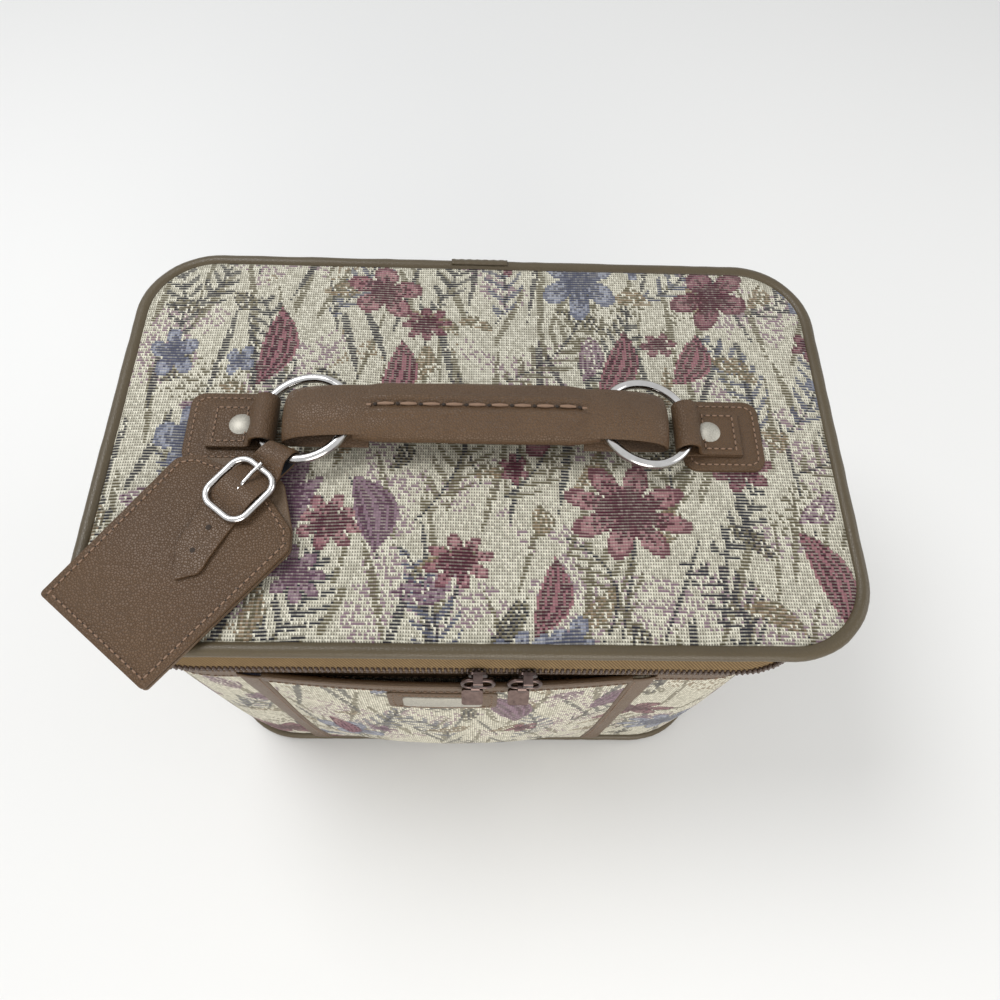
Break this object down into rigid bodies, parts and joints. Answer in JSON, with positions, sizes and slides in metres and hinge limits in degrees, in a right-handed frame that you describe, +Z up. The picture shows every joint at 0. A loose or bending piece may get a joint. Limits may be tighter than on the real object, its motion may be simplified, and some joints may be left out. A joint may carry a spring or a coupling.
{
  "type": "cosmetic train case",
  "caption": "Soft rounded box case in tapestry cloth with vinyl trim, zip-round lid, ringed top handle, front pocket and buckled luggage tag.",
  "frame": {"origin": "middle of the flat underside, on the floor", "axes": "+X to the case's right seen from the front, +Y towards the hinge at the back, +Z up; the pocket faces -Y"},
  "size_m": [0.3445, 0.2247, 0.2452],
  "materials": {
    "tapestry": "woven cotton tapestry, cream ground with flowers",
    "vinyl": "pebble-grained vinyl, taupe brown",
    "piping_vinyl": "smooth vinyl piping, olive taupe",
    "board": "stiff fibre board",
    "lining": "navy lining cloth",
    "padding": "soft padding",
    "mirror_glass": "silvered glass",
    "zip_tape": "golden brown twill tape",
    "zip_coil": "dark brown coil",
    "bright_metal": "polished",
    "satin_nickel": "satin nickel",
    "gunmetal": "dark gunmetal plate",
    "tag_paper": "plain card",
    "elastic": "ribbed elastic"
  },
  "bodies": {
    "body": {"body_cover": "tapestry", "body_board": "board", "body_lining": "lining", "base_panel": "vinyl", "base_piping": "piping_vinyl", "body_top_binding": "vinyl", "pocket_panel": "tapestry", "pocket_binding_left": "vinyl", "pocket_binding_right": "vinyl", "pocket_mouth_binding": "vinyl", "pocket_patch": "vinyl", "pocket_plate": "satin_nickel", "zip_lower_tape": "zip_tape", "zip_lower_teeth": "zip_coil", "hinge_strip": "vinyl", "elastic_loops": "elastic"},
    "lid": {"lid_board": "board", "lid_foam": "padding", "lid_cover": "tapestry", "lid_piping": "piping_vinyl", "piping_sleeve": "piping_vinyl", "lid_lining": "lining", "mirror": "mirror_glass", "mirror_frame": "vinyl", "zip_upper_tape": "zip_tape", "zip_upper_teeth": "zip_coil", "tab_patch_left": "vinyl", "tab_patch_right": "vinyl", "tab_strap_left": "vinyl", "tab_strap_right": "vinyl", "tab_rivets": "satin_nickel"},
    "handle": {"handle_cover": "vinyl", "handle_core": "padding"},
    "ring_left": {"ring_left": "bright_metal"},
    "ring_right": {"ring_right": "bright_metal"},
    "tag": {"tag_front": "vinyl", "tag_back": "vinyl", "tag_card": "tag_paper", "tag_strap": "vinyl", "tag_buckle": "bright_metal"},
    "buckle_prong": {"buckle_prong": "bright_metal"},
    "slider_left": {"slider_left": "gunmetal"},
    "slider_right": {"slider_right": "gunmetal"},
    "pull_link_left": {"pull_link_left": "gunmetal"},
    "pull_link_right": {"pull_link_right": "gunmetal"},
    "pull_tab_left": {"pull_tab_left": "gunmetal"},
    "pull_tab_right": {"pull_tab_right": "gunmetal"}
  },
  "joints": [
    {"name": "lid_hinge", "type": "hinge", "parent": "body", "child": "lid", "pos_m": [0, 0.101, 0.204], "axis": [-1, 0, 0], "range_deg": [0, 105], "deforming": ["hinge_strip"]},
    {"name": "handle_lift", "type": "slide", "parent": "lid", "child": "handle", "axis": [0, 0, 1], "range_m": [0, 0.0295]},
    {"name": "ring_left_turn", "type": "hinge", "parent": "lid", "child": "ring_left", "pos_m": [-0.0906, 0.005, 0.2287], "axis": [0, -1, 0], "range_deg": [0, 56.5], "deforming": ["tag_strap"]},
    {"name": "ring_right_turn", "type": "hinge", "parent": "lid", "child": "ring_right", "pos_m": [0.1006, 0.005, 0.2287], "axis": [0, 1, 0], "range_deg": [0, 56.5]},
    {"name": "tag_turn", "type": "hinge", "parent": "lid", "child": "tag", "pos_m": [-0.0816, -0.01354, 0.23029], "axis": [0, 0, 1], "range_deg": [-5, 40]},
    {"name": "prong_lift", "type": "hinge", "parent": "tag", "child": "buckle_prong", "pos_m": [-0.09549, -0.03122, 0.23096], "axis": [0.7863, -0.6179, 0], "range_deg": [0, 70]},
    {"name": "slider_left_slide", "type": "slide", "parent": "body", "child": "slider_left", "axis": [1, 0, 0], "range_m": [-0.1, 0]},
    {"name": "slider_right_slide", "type": "slide", "parent": "body", "child": "slider_right", "axis": [1, 0, 0], "range_m": [0, 0.08]},
    {"name": "link_left_swing", "type": "hinge", "parent": "slider_left", "child": "pull_link_left", "pos_m": [0.007, -0.1051, 0.204], "axis": [-1, 0, 0], "range_deg": [0, 80]},
    {"name": "link_right_swing", "type": "hinge", "parent": "slider_right", "child": "pull_link_right", "pos_m": [0.0269, -0.1051, 0.204], "axis": [-1, 0, 0], "range_deg": [0, 80]},
    {"name": "pull_left_swing", "type": "hinge", "parent": "pull_link_left", "child": "pull_tab_left", "pos_m": [0.007, -0.10651, 0.19735], "axis": [-1, 0, 0], "range_deg": [0, 90]},
    {"name": "pull_right_swing", "type": "hinge", "parent": "pull_link_right", "child": "pull_tab_right", "pos_m": [0.0269, -0.10651, 0.19735], "axis": [-1, 0, 0], "range_deg": [0, 90]}
  ],
  "couplings": [
    {"joint": "ring_left_turn", "follows": "handle_lift", "rad_per_m": 33.3},
    {"joint": "ring_right_turn", "follows": "handle_lift", "rad_per_m": 33.3}
  ]
}
